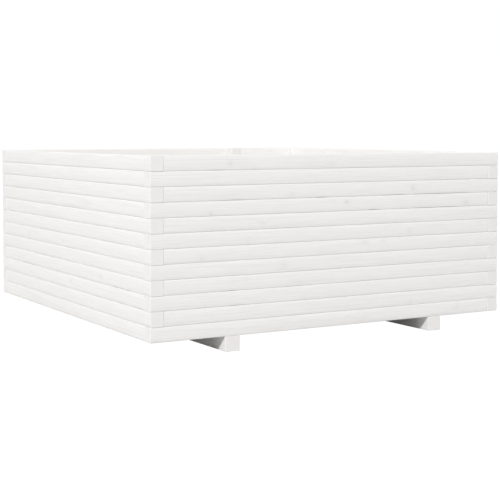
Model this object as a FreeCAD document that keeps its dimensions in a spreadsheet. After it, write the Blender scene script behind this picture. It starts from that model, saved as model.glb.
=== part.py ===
import FreeCAD, Part
import os
import Sketcher

# A square garden planter of white-painted pine.
# Four walls of stacked battens interlock at the corners: in every row each batten laps over one
# corner and butts against its neighbour at the other, and the next row is turned round.
# Two bearers carry the walls and the floor boards, and an upright stiffens the front and the back wall.
# The origin is on the ground, in the middle of the footprint. +Z is up and the front faces -Y.

# Driving dimensions, in millimetres, and counts: name, value, meaning.
DRIVING_SIZES = [
    ("side_length", 1100.0, "outer width and depth of the box"),
    ("row_count", 12, "rows of battens in each wall"),
    ("batten_height", 38.0, "height of one row"),
    ("batten_thickness", 36.0, "thickness of a wall, to the crest of the crowned face"),
    ("face_crown", 0.9, "how far the outer face of a batten bulges"),
    ("batten_edge_radius", 2.0, "rounding of the long edges of a batten"),
    ("batten_end_chamfer", 1.2, "bevel round the sawn ends of a batten"),
    ("bearer_width", 41.0, "width of a bearer"),
    ("bearer_height", 39.0, "height of a bearer"),
    ("bearer_spacing", 644.0, "distance between the middles of the bearers"),
    ("bearer_edge_radius", 1.5, "rounding of the long edges of a bearer"),
    ("bearer_end_chamfer", 0.8, "bevel round the sawn ends of a bearer"),
    ("board_count", 10, "boards in the floor"),
    ("board_thickness", 18.0, "thickness of a floor board"),
    ("board_gap", 5.0, "drainage gap between boards, and before the first and last"),
    ("board_end_gap", 3.0, "gap between the end of a board and the wall"),
    ("board_edge_radius", 2.0, "rounding of the long edges of a board"),
    ("board_end_chamfer", 0.8, "bevel round the sawn ends of a board"),
    ("upright_width", 38.0, "width of an upright along the wall"),
    ("upright_depth", 36.0, "how far an upright stands out from the wall"),
    ("upright_offset", 268.5, "from the middle of a wall to its upright, to the left seen from outside"),
    ("upright_edge_radius", 2.5, "rounding of the long edges of an upright"),
    ("upright_end_chamfer", 0.8, "bevel round the sawn ends of an upright"),
    ("screw_clearance", 0.3, "room round a shank in the piece that it passes through"),
    ("thread_clearance", 0.06, "room round a thread in its pilot hole"),
    ("tip_clearance", 1.0, "room past the tip of a screw in its pilot hole"),
    ("head_recess", 0.5, "how deep a screw head lies below the surface"),
    ("batten_screw_diameter", 4.5, "shank of the screws that join the rows"),
    ("batten_screw_head", 9.0, "head of the screws that join the rows"),
    ("batten_screw_bite", 22.0, "how far those screws reach into the row above"),
    ("batten_screw_inset", 40.0, "from the end of a butted batten to its nearest screw"),
    ("batten_screw_stagger", 20.0, "shift along the wall between the screws of two rows"),
    ("corner_screw_offset", 7.0, "from the middle of a lapped corner to its screw, each way"),
    ("upright_screw_diameter", 4.0, "shank of the screws through the uprights"),
    ("upright_screw_head", 8.0, "head of the screws through the uprights"),
    ("upright_screw_bite", 14.0, "how far those screws reach into a batten"),
    ("upright_screw_height", 10.0, "from the underside of a row up to its screw of the upright"),
    ("floor_screw_diameter", 4.0, "shank of the screws through the floor boards"),
    ("floor_screw_head", 8.0, "head of the screws through the floor boards"),
    ("floor_screw_bite", 22.0, "how far those screws reach into a bearer"),
    ("floor_screw_spacing", 50.0, "distance between the two screws of a board on one bearer"),
    ("bearer_screw_diameter", 5.0, "shank of the screws through the bearers"),
    ("bearer_screw_head", 10.0, "head of the screws through the bearers"),
    ("bearer_screw_bite", 30.0, "how far those screws reach into the lowest batten"),
    ("bearer_screw_spacing", 20.0, "distance between the two screws where a bearer meets a wall"),
]

# The cross recess of a screw, as shares of its head.
RECESS_SPAN_SHARE = 0.56
RECESS_SLOT_SHARE = 0.13
RECESS_DEPTH_SHARE = 0.2

# Wall name, quarter turns about the middle of the box, and whether an upright and the bearers meet it.
WALLS = [("front", 0, True), ("right", 1, False), ("back", 2, True), ("left", 3, False)]
QUARTER_TURN = 90
COUNTERSINK_ANGLE = 90
NEARLY_SQUARE_SHARE = 0.99
PARTS_FOLDER = "parts"

# Lengths that follow from the driving dimensions, as expressions on the sheet.
BATTEN_LENGTH = "(Sizes.side_length - Sizes.batten_thickness)"
INNER_WIDTH = "(Sizes.side_length - 2 * Sizes.batten_thickness)"
BOARD_LENGTH = f"({INNER_WIDTH} - 2 * Sizes.board_end_gap)"
BOARD_WIDTH = f"(({INNER_WIDTH} - (Sizes.board_count + 1) * Sizes.board_gap) / Sizes.board_count)"
WALL_HEIGHT = "(Sizes.row_count * Sizes.batten_height)"
UPRIGHT_LENGTH = f"({WALL_HEIGHT} - Sizes.board_thickness)"

document = FreeCAD.newDocument("Planter")


def make_sheet():
    """Writes the driving dimensions into the sheet, one row each."""
    sheet = document.addObject("Spreadsheet::Sheet", "Sizes")
    for row, (name, value, meaning) in enumerate(DRIVING_SIZES, start=1):
        sheet.set(f"A{row}", name)
        sheet.set(f"B{row}", str(value))
        sheet.set(f"C{row}", meaning)
        sheet.setAlias(f"B{row}", name)
    document.recompute()
    return sheet


sheet = make_sheet()


def size(name):
    """The value of a driving dimension on the sheet."""
    return float(sheet.get(name))


def count(name):
    """The value of a driving count on the sheet."""
    return round(size(name))


def new_sketch(body, role, offset=None):
    """A sketch on one of the body's origin planes, moved along its normal by an expression."""
    plane = next(plane for plane in body.Origin.OriginFeatures if plane.Role == role)
    sketch = body.newObject("Sketcher::SketchObject", "Sketch")
    sketch.AttachmentSupport = (plane, [""])
    sketch.MapMode = "FlatFace"
    if offset:
        sketch.setExpression("AttachmentOffset.Base.z", offset)
    return sketch


def constrain(sketch, kind, *arguments, expression=None):
    """Adds a constraint, and ties its value to an expression where there is one."""
    index = sketch.addConstraint(Sketcher.Constraint(kind, *arguments))
    if expression:
        sketch.setExpression(f"Constraints[{index}]", expression)


def draw_section(sketch, depth, height, crown):
    """Draws a stick's section from the sketch's origin; a crowned one bulges on its outer side."""
    rough = size("bearer_width")
    bulge = size("face_crown") if crown else 0
    corners = [(bulge, 0), (rough, 0), (rough, rough), (bulge, rough)]
    points = [FreeCAD.Vector(x, y, 0) for x, y in corners]
    for start, end in zip(points, points[1:]):
        sketch.addGeometry(Part.LineSegment(start, end))
    if crown:
        sketch.addGeometry(Part.Arc(points[3], FreeCAD.Vector(0, rough / 2, 0), points[0]))
    else:
        sketch.addGeometry(Part.LineSegment(points[3], points[0]))
    for line, following in ((0, 1), (1, 2), (2, 3), (3, 0)):
        constrain(sketch, "Coincident", line, 2, following, 1)
    constrain(sketch, "PointOnObject", 0, 1, -1)
    constrain(sketch, "Horizontal", 0)
    constrain(sketch, "Vertical", 1)
    constrain(sketch, "Horizontal", 2)
    constrain(sketch, "DistanceX", -1, 1, 0, 2, rough, expression=depth)
    constrain(sketch, "DistanceY", 1, 1, 1, 2, rough, expression=height)
    constrain(sketch, "Vertical", 0, 1, 2, 2)
    if crown:
        radius = f"({crown}^2 + ({height} / 2)^2) / (2 * {crown})"
        constrain(sketch, "DistanceX", -1, 1, 0, 1, bulge, expression=crown)
        constrain(sketch, "Radius", 3, sketch.Geometry[3].Radius, expression=radius)
    else:
        constrain(sketch, "PointOnObject", 0, 1, -2)


def long_edges(shape):
    """Names of the straight edges that run the whole length of a stick."""
    names = []
    for index, edge in enumerate(shape.Edges, start=1):
        reach = edge.BoundBox
        if reach.XLength > reach.YLength + reach.ZLength:
            names.append(f"Edge{index}")
    return names


def end_faces(shape):
    """Names of the two sawn end faces of a stick."""
    names = []
    for index, face in enumerate(shape.Faces, start=1):
        if abs(face.normalAt(0, 0).x) > NEARLY_SQUARE_SHARE:
            names.append(f"Face{index}")
    return names


def make_stick(label, length, depth, height, edge_radius, end_chamfer, crown=None):
    """A stick along its own +X: its section stands on +Y and +Z, its long edges are rounded."""
    body = document.addObject("PartDesign::Body", label)
    body.Label = label
    section = new_sketch(body, "YZ_Plane")
    draw_section(section, depth, height, crown)
    pad = body.newObject("PartDesign::Pad", "Pad")
    pad.Profile = section
    pad.setExpression("Length", length)
    document.recompute()
    fillet = body.newObject("PartDesign::Fillet", "Fillet")
    fillet.Base = (pad, long_edges(pad.Shape))
    fillet.setExpression("Radius", edge_radius)
    document.recompute()
    chamfer = body.newObject("PartDesign::Chamfer", "Chamfer")
    chamfer.Base = (fillet, end_faces(fillet.Shape))
    chamfer.setExpression("Size", end_chamfer)
    document.recompute()
    return body


def drill(body, role, surface, reversed_way, points, diameter, depth=None, sink=None):
    """Drills holes at points of a plane; without a depth they go right through.

    The plane lies at the expression surface along its normal, and sink is the width of the
    countersink. Returns the sketch that holds the places of the holes.
    """
    sketch = new_sketch(body, role, surface)
    for index, (x, y) in enumerate(points):
        rough = FreeCAD.Vector(index + 1, index + 1, 0) * size("bearer_width")
        sketch.addGeometry(Part.Circle(rough, FreeCAD.Vector(0, 0, 1), size("head_recess")))
        constrain(sketch, "DistanceX", -1, 1, index, 3, rough.x, expression=x)
        constrain(sketch, "DistanceY", -1, 1, index, 3, rough.y, expression=y)
        constrain(sketch, "Radius", index, size("head_recess"), expression=f"{diameter} / 2")
    document.recompute()
    volume_before = body.Shape.Volume
    hole = body.newObject("PartDesign::Hole", "Hole")
    hole.Profile = sketch
    hole.Threaded = False
    hole.DrillPoint = "Flat"
    hole.Reversed = reversed_way
    hole.setExpression("Diameter", diameter)
    if depth:
        hole.DepthType = "Dimension"
        hole.setExpression("Depth", depth)
    else:
        hole.DepthType = "ThroughAll"
    if sink:
        hole.HoleCutType = "Countersink"
        hole.HoleCutCountersinkAngle = COUNTERSINK_ANGLE
        hole.setExpression("HoleCutDiameter", sink)
    document.recompute()
    if body.Shape.Volume >= volume_before:
        raise RuntimeError(f"The holes of {body.Label} cut nothing")
    return sketch


def clearance_hole(screw):
    """Expression for the hole in the piece that a kind of screw passes through."""
    return f"(Sizes.{screw}_screw_diameter + 2 * Sizes.screw_clearance)"


def countersink(screw):
    """Expression for the width of that hole's countersink at the surface."""
    return f"(Sizes.{screw}_screw_head + 2 * Sizes.screw_clearance + 2 * Sizes.head_recess)"


def pilot_hole(screw):
    """Expression for the hole that the thread of a kind of screw sits in."""
    return f"(Sizes.{screw}_screw_diameter + 2 * Sizes.thread_clearance)"


def pilot_depth(screw):
    """Expression for the depth of that hole."""
    return f"(Sizes.{screw}_screw_bite + Sizes.head_recess + Sizes.tip_clearance)"


def place(body, turns, x, y, z):
    """Turns a body by quarter turns about +Z and ties the place of its corner to expressions."""
    body.Placement = FreeCAD.Placement(FreeCAD.Vector(), FreeCAD.Rotation(QUARTER_TURN * turns, 0, 0))
    body.setExpression("Placement.Base.x", x)
    body.setExpression("Placement.Base.y", y)
    body.setExpression("Placement.Base.z", z)


def laps_left(row):
    """Whether the battens of a row lap over the corner at their wall's left end, seen from outside."""
    return row % 2 == 0


def wall_offset(row):
    """Expression for the distance from the wall's left corner to the end of a row's batten."""
    return "0" if laps_left(row) else "Sizes.batten_thickness"


def row_screw_points(row, driving_row):
    """Places in a batten, from below, of the screws that a row drives upwards.

    One is in the lapped corner, where it ties two walls together, and three lie along the wall.
    The screws of neighbouring rows stand side by side, so that a tip never meets a head.
    """
    sign = "-" if laps_left(driving_row) else "+"
    corner = f"(Sizes.batten_thickness / 2 {sign} Sizes.corner_screw_offset)"
    corner_x = corner if laps_left(row) else f"{BATTEN_LENGTH} - {corner}"
    near = "Sizes.batten_thickness + Sizes.batten_screw_inset"
    stations = [near, "Sizes.side_length / 2", f"Sizes.side_length - ({near})"]
    middle = "Sizes.batten_thickness / 2"
    points = [(corner_x, corner)]
    for station in stations:
        along = f"{station} - {wall_offset(row)} {sign} Sizes.batten_screw_stagger / 2"
        points.append((along, middle))
    return points


def upright_screw_points(row):
    """The place on the inner face of a batten where a screw of the upright enters it."""
    along = f"Sizes.side_length / 2 - Sizes.upright_offset - {wall_offset(row)}"
    return [(along, "Sizes.upright_screw_height")]


def bearer_screw_points(row):
    """Places under the lowest batten of a wall where the screws of the bearers enter it."""
    points = []
    for bearer in ("-", "+"):
        for screw in ("-", "+"):
            along = (
                f"Sizes.side_length / 2 {bearer} Sizes.bearer_spacing / 2 "
                f"{screw} Sizes.bearer_screw_spacing / 2 - {wall_offset(row)}"
            )
            points.append((along, "Sizes.batten_thickness / 2"))
    return points


def make_batten(wall, turns, on_bearers, row, drillings):
    """One batten of a wall, with the holes of its own screws and of those that enter it."""
    label = f"{wall}_batten_{row:02d}"
    body = make_stick(
        label,
        BATTEN_LENGTH,
        "Sizes.batten_thickness",
        "Sizes.batten_height",
        "Sizes.batten_edge_radius",
        "Sizes.batten_end_chamfer",
        crown="Sizes.face_crown",
    )
    last_row = count("row_count")
    if row > 1:
        own = drill(
            body, "XY_Plane", None, True, row_screw_points(row, row),
            clearance_hole("batten"), sink=countersink("batten"),
        )
        drillings["batten"].append((body, own, True))
    if row < last_row:
        drill(
            body, "XY_Plane", None, True, row_screw_points(row, row + 1),
            pilot_hole("batten"), depth=pilot_depth("batten"),
        )
        if on_bearers:
            drill(
                body, "XZ_Plane", "-Sizes.batten_thickness", True, upright_screw_points(row),
                pilot_hole("upright"), depth=pilot_depth("upright"),
            )
    elif on_bearers:
        drill(
            body, "XY_Plane", None, True, bearer_screw_points(row),
            pilot_hole("bearer"), depth=pilot_depth("bearer"),
        )
    half = "Sizes.side_length / 2"
    along = f"{half} - {wall_offset(row)}"
    x, y = [
        (f"-({along})", f"-{half}"),
        (half, f"-({along})"),
        (along, half),
        (f"-{half}", along),
    ][turns]
    z = f"Sizes.bearer_height + (Sizes.row_count - {row}) * Sizes.batten_height"
    place(body, turns, x, y, z)
    return body


def make_bearer(side, sign, drillings):
    """A bearer from the front face to the back face, with its ends flush with both."""
    body = make_stick(
        f"{side}_bearer",
        "Sizes.side_length",
        "Sizes.bearer_width",
        "Sizes.bearer_height",
        "Sizes.bearer_edge_radius",
        "Sizes.bearer_end_chamfer",
    )
    under_walls = []
    for along in ("Sizes.batten_thickness / 2", "Sizes.side_length - Sizes.batten_thickness / 2"):
        for screw in ("-", "+"):
            across = f"Sizes.bearer_width / 2 {screw} Sizes.bearer_screw_spacing / 2"
            under_walls.append((along, across))
    own = drill(
        body, "XY_Plane", None, True, under_walls,
        clearance_hole("bearer"), sink=countersink("bearer"),
    )
    drillings["bearer"].append((body, own, True))
    under_boards = []
    for board in range(count("board_count")):
        for screw in ("-", "+"):
            along = (
                f"Sizes.batten_thickness + Sizes.board_gap + {board} * ({BOARD_WIDTH} + Sizes.board_gap) "
                f"+ {BOARD_WIDTH} / 2 {screw} Sizes.floor_screw_spacing / 2"
            )
            under_boards.append((along, "Sizes.bearer_width / 2"))
    drill(
        body, "XY_Plane", "Sizes.bearer_height", False, under_boards,
        pilot_hole("floor"), depth=pilot_depth("floor"),
    )
    x = f"{sign} Sizes.bearer_spacing / 2 + Sizes.bearer_width / 2"
    place(body, 1, x, "-Sizes.side_length / 2", "0")
    return body


def make_board(index, drillings):
    """One floor board from wall to wall, screwed down to both bearers."""
    body = make_stick(
        f"floor_board_{index + 1:02d}",
        BOARD_LENGTH,
        BOARD_WIDTH,
        "Sizes.board_thickness",
        "Sizes.board_edge_radius",
        "Sizes.board_end_chamfer",
    )
    points = []
    for bearer in ("-", "+"):
        for screw in ("-", "+"):
            along = f"{BOARD_LENGTH} / 2 {bearer} Sizes.bearer_spacing / 2"
            points.append((along, f"{BOARD_WIDTH} / 2 {screw} Sizes.floor_screw_spacing / 2"))
    own = drill(
        body, "XY_Plane", "Sizes.board_thickness", False, points,
        clearance_hole("floor"), sink=countersink("floor"),
    )
    drillings["floor"].append((body, own, False))
    y = f"-{INNER_WIDTH} / 2 + Sizes.board_gap + {index} * ({BOARD_WIDTH} + Sizes.board_gap)"
    place(body, 0, f"-{BOARD_LENGTH} / 2", y, "Sizes.bearer_height")
    return body


def make_upright(wall, turns, drillings):
    """The upright on the inner face of a wall, from the floor to the rim, screwed into each row."""
    body = make_stick(
        f"{wall}_upright",
        UPRIGHT_LENGTH,
        "Sizes.upright_depth",
        "Sizes.upright_width",
        "Sizes.upright_edge_radius",
        "Sizes.upright_end_chamfer",
    )
    points = []
    for row in range(1, count("row_count")):
        height = f"(Sizes.row_count - {row}) * Sizes.batten_height + Sizes.upright_screw_height"
        points.append((f"{height} - Sizes.board_thickness", "Sizes.upright_width / 2"))
    own = drill(
        body, "XZ_Plane", "-Sizes.upright_depth", True, points,
        clearance_hole("upright"), sink=countersink("upright"),
    )
    drillings["upright"].append((body, own, True))
    stand = FreeCAD.Rotation(FreeCAD.Vector(0, 1, 0), -QUARTER_TURN)
    turn = FreeCAD.Rotation(QUARTER_TURN * turns, 0, 0)
    body.Placement = FreeCAD.Placement(FreeCAD.Vector(), turn.multiply(stand))
    sign = "-" if turns == 0 else "+"
    body.setExpression("Placement.Base.x", f"{sign} (Sizes.upright_offset - Sizes.upright_width / 2)")
    body.setExpression("Placement.Base.y", f"{sign} {INNER_WIDTH} / 2")
    body.setExpression("Placement.Base.z", "Sizes.bearer_height + Sizes.board_thickness")
    return body


def screw_shape(screw, held_length):
    """A countersunk wood screw on its own axis: its head is flush at zero and its tip is below."""
    diameter = size(f"{screw}_screw_diameter")
    head = size(f"{screw}_screw_head")
    length = held_length + size(f"{screw}_screw_bite")
    shank_radius = diameter / 2
    head_radius = head / 2
    outline = [
        FreeCAD.Vector(0, 0, 0),
        FreeCAD.Vector(head_radius, 0, 0),
        FreeCAD.Vector(shank_radius, 0, shank_radius - head_radius),
        FreeCAD.Vector(shank_radius, 0, diameter - length),
        FreeCAD.Vector(0, 0, -length),
    ]
    face = Part.Face(Part.makePolygon(outline + outline[:1]))
    solid = face.revolve(FreeCAD.Vector(), FreeCAD.Vector(0, 0, 1), 4 * QUARTER_TURN)
    span = head * RECESS_SPAN_SHARE
    slot = head * RECESS_SLOT_SHARE
    depth = head * RECESS_DEPTH_SHARE
    for width, breadth in ((span, slot), (slot, span)):
        corner = FreeCAD.Vector(-width / 2, -breadth / 2, -depth)
        solid = solid.cut(Part.makeBox(width, breadth, 2 * depth, corner))
    return solid


def make_screws(screw, held_length, drillings):
    """All the screws of one kind, one in each hole that was drilled for it."""
    template = screw_shape(screw, held_length)
    sunk = FreeCAD.Placement(FreeCAD.Vector(0, 0, -size("head_recess")), FreeCAD.Rotation())
    copies = []
    for body, sketch, reversed_way in drillings[screw]:
        turned = FreeCAD.Rotation(FreeCAD.Vector(1, 0, 0), 2 * QUARTER_TURN if reversed_way else 0)
        for circle in sketch.Geometry:
            seat = body.Placement.multiply(sketch.Placement)
            seat = seat.multiply(FreeCAD.Placement(circle.Center, turned)).multiply(sunk)
            copy = template.copy()
            copy.Placement = seat
            copies.append(copy)
    group = document.addObject("Part::Feature", f"{screw}_screws")
    group.Label = f"{screw}_screws"
    group.Shape = Part.makeCompound(copies)
    return group


def make_planter():
    """Builds every sub-part and returns the ones that are written out."""
    drillings = {"batten": [], "bearer": [], "floor": [], "upright": []}
    nodes = []
    for wall, turns, on_bearers in WALLS:
        for row in range(1, count("row_count") + 1):
            nodes.append(make_batten(wall, turns, on_bearers, row, drillings))
    for side, sign in (("left", "-"), ("right", "+")):
        nodes.append(make_bearer(side, sign, drillings))
    boards = [make_board(index, drillings) for index in range(count("board_count"))]
    floor = document.addObject("Part::Compound", "floor_boards")
    floor.Label = "floor_boards"
    floor.Links = boards
    nodes.append(floor)
    for wall, turns, on_bearers in WALLS:
        if on_bearers:
            nodes.append(make_upright(wall, turns, drillings))
    document.recompute()
    nodes.append(make_screws("batten", size("batten_height"), drillings))
    nodes.append(make_screws("upright", size("upright_depth"), drillings))
    nodes.append(make_screws("floor", size("board_thickness"), drillings))
    nodes.append(make_screws("bearer", size("bearer_height"), drillings))
    document.recompute()
    return nodes


def check_document(nodes):
    """Stops if anything in the document failed or a sub-part's shape is missing or broken."""
    for item in document.Objects:
        if "Invalid" in item.State or "Error" in item.State:
            raise RuntimeError(f"{item.Label} failed: {item.State}")
    for node in nodes:
        if node.Shape.isNull() or not node.Shape.isValid():
            raise RuntimeError(f"{node.Label} has no valid shape")


def write_parts(nodes):
    """Writes each sub-part to its own file and prints what it holds."""
    os.makedirs(PARTS_FOLDER, exist_ok=True)
    for node in nodes:
        node.Shape.exportStep(f"{PARTS_FOLDER}/{node.Label}.step")
        print(f"{node.Label}: {len(node.Shape.Solids)} solids, {node.Shape.Volume:.0f} cubic mm")


planter = make_planter()
check_document(planter)
write_parts(planter)
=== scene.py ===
"""The looks of a square garden planter: interlocking pine battens on two bearers, stained white.

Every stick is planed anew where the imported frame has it: the front wall faces -Y, +X is to the
right and the ground is at Z 0. A stick is swept from its own section in a local frame, its length
along X, its outer face towards -Y and its height along Z, and is then turned and placed. The
grain, the knots and the end grain are written to the mesh in that local frame, so that the rings
of one log run round all the faces of a stick. Sizes are in millimetres until they enter a tree.
"""

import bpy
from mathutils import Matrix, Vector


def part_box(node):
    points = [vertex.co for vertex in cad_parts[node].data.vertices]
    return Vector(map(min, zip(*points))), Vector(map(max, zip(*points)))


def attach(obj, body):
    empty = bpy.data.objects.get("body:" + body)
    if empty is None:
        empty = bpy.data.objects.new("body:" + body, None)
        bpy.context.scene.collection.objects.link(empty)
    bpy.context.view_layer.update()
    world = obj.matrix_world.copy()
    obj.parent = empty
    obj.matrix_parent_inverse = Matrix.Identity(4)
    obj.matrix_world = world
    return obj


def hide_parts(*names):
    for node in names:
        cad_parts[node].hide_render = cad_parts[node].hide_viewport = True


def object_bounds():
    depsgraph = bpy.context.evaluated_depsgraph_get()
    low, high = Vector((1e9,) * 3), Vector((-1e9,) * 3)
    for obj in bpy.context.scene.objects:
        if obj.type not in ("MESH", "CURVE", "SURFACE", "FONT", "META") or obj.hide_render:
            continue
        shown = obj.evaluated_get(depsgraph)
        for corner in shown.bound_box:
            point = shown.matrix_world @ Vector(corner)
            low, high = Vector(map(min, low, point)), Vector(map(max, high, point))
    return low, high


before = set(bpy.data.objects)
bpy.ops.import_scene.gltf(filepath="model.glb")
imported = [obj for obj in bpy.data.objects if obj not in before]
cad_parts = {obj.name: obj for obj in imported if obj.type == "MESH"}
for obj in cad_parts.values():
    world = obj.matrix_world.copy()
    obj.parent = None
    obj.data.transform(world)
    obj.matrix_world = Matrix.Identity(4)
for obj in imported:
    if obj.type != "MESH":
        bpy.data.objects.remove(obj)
CAD_BOX = [list(corner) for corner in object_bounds()]

import logging
import math
import random
from collections.abc import Callable, Mapping, Sequence
from dataclasses import dataclass
from enum import Enum

import bpy
from mathutils import Euler, Matrix, Vector

MM = 0.001
QUARTER_TURN = math.pi / 2.0
ROOT = "root"
KNOTS_PER_STICK = 3
GAPS_PER_STICK = 4
BEARERS = ("left_bearer", "right_bearer")
UP = Vector((0.0, 0.0, 1.0))
Pair = tuple[float, float]
Triple = tuple[float, float, float]
log = logging.getLogger("planter")


def working(operation: str) -> Callable[..., "Wire"]:
    """Return a method that does an operation of the Math nodes with a wire and any other values."""
    return lambda wire, *others: wire.graph.maths(operation, wire, *others)


class Wire:
    """The output of a node, which takes part in Python expressions."""

    __add__ = working("ADD")
    __sub__ = working("SUBTRACT")
    __mul__ = working("MULTIPLY")
    __truediv__ = working("DIVIDE")
    __pow__ = working("POWER")
    __gt__ = working("GREATER_THAN")
    size = working("ABSOLUTE")
    exp = working("EXPONENT")
    whole = working("FLOOR")
    length = working("LENGTH")
    at_least = working("MAXIMUM")
    at_most = working("MINIMUM")

    def __init__(self, graph: "Graph", socket: bpy.types.NodeSocket) -> None:
        """Remember the socket and the graph that new nodes go into."""
        self.graph = graph
        self.socket = socket

    def __rsub__(self, other: float) -> "Wire":
        """Return a number less this wire."""
        return self.graph.maths("SUBTRACT", other, self)

    def limit(self, low: object, high: object) -> "Wire":
        """Return self held between low and high."""
        return self.at_least(low).at_most(high)

    def rise(self, low: float, high: float) -> "Wire":
        """Return a smooth step from 0 at low to 1 at high."""
        inputs = {"Value": self, "From Min": low, "From Max": high}
        return self.graph.add("ShaderNodeMapRange", inputs, interpolation_type="SMOOTHSTEP")

    def parts(self) -> tuple["Wire", "Wire", "Wire"]:
        """Return the three numbers of a vector."""
        x = self.graph.add("ShaderNodeSeparateXYZ", {"Vector": self})
        return x, x.beside("Y"), x.beside("Z")

    def beside(self, name: str) -> "Wire":
        """Return another output of the same node."""
        return Wire(self.graph, self.socket.node.outputs[name])


class Graph:
    """Adds nodes to one tree and hands their outputs back as wires."""

    def __init__(self, tree: bpy.types.NodeTree) -> None:
        """Work on this tree, emptied."""
        self.tree = tree
        self.tree.nodes.clear()

    def add(self, kind: str, inputs: Mapping[str | int, object] | None = None, output: str = "",
            **settings: object) -> Wire:
        """Add a node.

        Args:
            kind: The node's type, as Blender names it.
            inputs: A value, a wire or a list of wires for each socket, by name or number.
            output: The output that is wanted; without a name, the first that is in use.
            settings: Its properties, which are set before its inputs.

        Returns:
            The wire of that output, which is empty for a node that ends a tree.
        """
        node = self.tree.nodes.new(kind)
        for name, value in settings.items():
            setattr(node, name, value)
        for name, value in (inputs or {}).items():
            self.feed(node, name, value)
        found = [socket for socket in node.outputs if socket.enabled and output in ("", socket.name)]
        return Wire(self, found[0] if found else None)

    def feed(self, node: bpy.types.Node, name: str | int, value: object) -> None:
        """Link wires to an input of a node, or set its value.

        Args:
            node: The node.
            name: The input's number, or the name that it has among the inputs in use.
            value: A wire, a list of wires or a plain value; a colour may leave out its alpha.
        """
        named = [socket for socket in node.inputs if socket.enabled and socket.name == name]
        socket = node.inputs[name] if isinstance(name, int) else named[0]
        wires = value if isinstance(value, list) else [value]
        if isinstance(wires[0], Wire):
            for wire in wires:
                self.tree.links.new(wire.socket, socket)
        elif socket.type == "RGBA":
            socket.default_value = (*value, 1.0)
        else:
            socket.default_value = value

    def maths(self, operation: str, *values: object) -> Wire:
        """Work on numbers, or on vectors where one of the values is a vector.

        Args:
            operation: The operation of the Math or Vector Math node.
            values: Wires, numbers or triples.

        Returns:
            The result.
        """
        kinds = {value.socket.type for value in values if isinstance(value, Wire)}
        kind = "ShaderNodeMath"
        if kinds & {"VECTOR", "RGBA"} or any(isinstance(value, tuple) for value in values):
            kind = "ShaderNodeVectorMath"
            values = [(value,) * 3 if isinstance(value, (int, float)) else value for value in values]
        return self.add(kind, dict(enumerate(values)), operation=operation)

    def join(self, x: object, y: object, z: object) -> Wire:
        """Return the vector of three numbers."""
        return self.add("ShaderNodeCombineXYZ", {"X": x, "Y": y, "Z": z})

    def tint(self, colour: object, share: Wire, tint: Triple) -> Wire:
        """Return a colour multiplied by a tint, as far as the share from 0 to 1 says."""
        inputs = {"Factor": share, "A": colour, "B": tint}
        return self.add("ShaderNodeMix", inputs, data_type="RGBA", blend_type="MULTIPLY")

    def noise(self, vector: Wire, scale: float = 1.0, detail: float = 2.0,
              roughness: float = 0.5) -> Wire:
        """Return soft noise around 0.5; detail counts its layers, roughness is their strength."""
        inputs = {"Vector": vector, "Scale": scale, "Detail": detail, "Roughness": roughness}
        return self.add("ShaderNodeTexNoise", inputs)


@dataclass(frozen=True)
class Finish:
    """A finish of the record, as a material."""

    slot: str

    def material(self) -> bpy.types.Material:
        """Return the finished material."""
        material = bpy.data.materials.new(self.slot + "_finish")
        material.use_nodes = True
        graph = Graph(material.node_tree)
        graph.add("ShaderNodeOutputMaterial", {"Surface": self.surface(graph)})
        return material

    def surface(self, graph: Graph) -> Wire:
        """Return the shader of this finish."""
        raise NotImplementedError


# Faint patches in the stain: tint, scales along and across the log, and shift.
STAIN_PATCHES = (
    ((1.0, 0.962, 0.958), (3.1, 26.0, 26.0), 0.0),
    ((1.0, 0.99, 0.945), (4.3, 34.0, 34.0), 5.3),
    ((0.96, 0.956, 0.97), (2.3, 20.0, 20.0), 9.1),
)


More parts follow.
